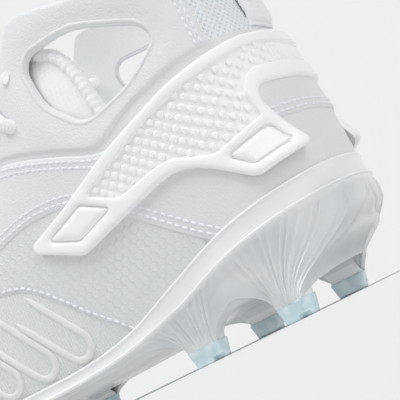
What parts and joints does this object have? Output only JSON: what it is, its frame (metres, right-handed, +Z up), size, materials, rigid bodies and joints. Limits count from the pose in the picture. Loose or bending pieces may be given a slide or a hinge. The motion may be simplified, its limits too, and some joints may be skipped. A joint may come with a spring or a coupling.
{
  "type": "lacrosse cleat",
  "caption": "White mid-cut lacrosse cleat for the left foot: hollow upper with ankle cut-outs, wide tongue, moulded heel strap, laces, and a clear plate with ice-blue stud tips.",
  "frame": {"origin": "on the floor under the middle of the cleat's box", "axes": "-X to the toe, +X to the heel, -Y to the outer side of the foot, +Z up from the stud tips"},
  "size_m": [0.2974, 0.1018, 0.1482],
  "materials": {
    "leather": "white synthetic leather, satin",
    "plate": "milky translucent plate",
    "tip": "ice-blue translucent tip",
    "strap": "white moulded rubber, satin",
    "knit": "white padded mesh",
    "foam": "insole foam with cloth top",
    "webbing": "ribbed webbing",
    "cord": "white braided lace",
    "film": "bonded film welt"
  },
  "bodies": {
    "root": {"upper": "leather", "outsole": "plate", "insole": "foam", "tongue": "knit", "tongue_binding": "knit", "heel_strap": "strap", "pull_tab": "webbing", "lace": "cord", "stud_tip_heel_outer_back": "tip", "stud_tip_heel_inner_back": "tip", "stud_tip_heel_outer_front": "tip", "stud_tip_heel_inner_front": "tip", "stud_tip_ball_outer_back": "tip", "stud_tip_ball_inner_back": "tip", "stud_tip_ball_outer_middle": "tip", "stud_tip_ball_inner_middle": "tip", "stud_tip_ball_outer_front": "tip", "stud_tip_ball_inner_front": "tip", "stud_tip_toe_outer": "tip", "stud_tip_toe_inner": "tip", "vamp_welt_outer_1": "film", "vamp_welt_outer_2": "film", "vamp_welt_outer_3": "film", "vamp_welt_outer_4": "film", "vamp_welt_inner_1": "film", "vamp_welt_inner_2": "film", "vamp_welt_inner_3": "film", "vamp_welt_inner_4": "film"}
  },
  "joints": []
}
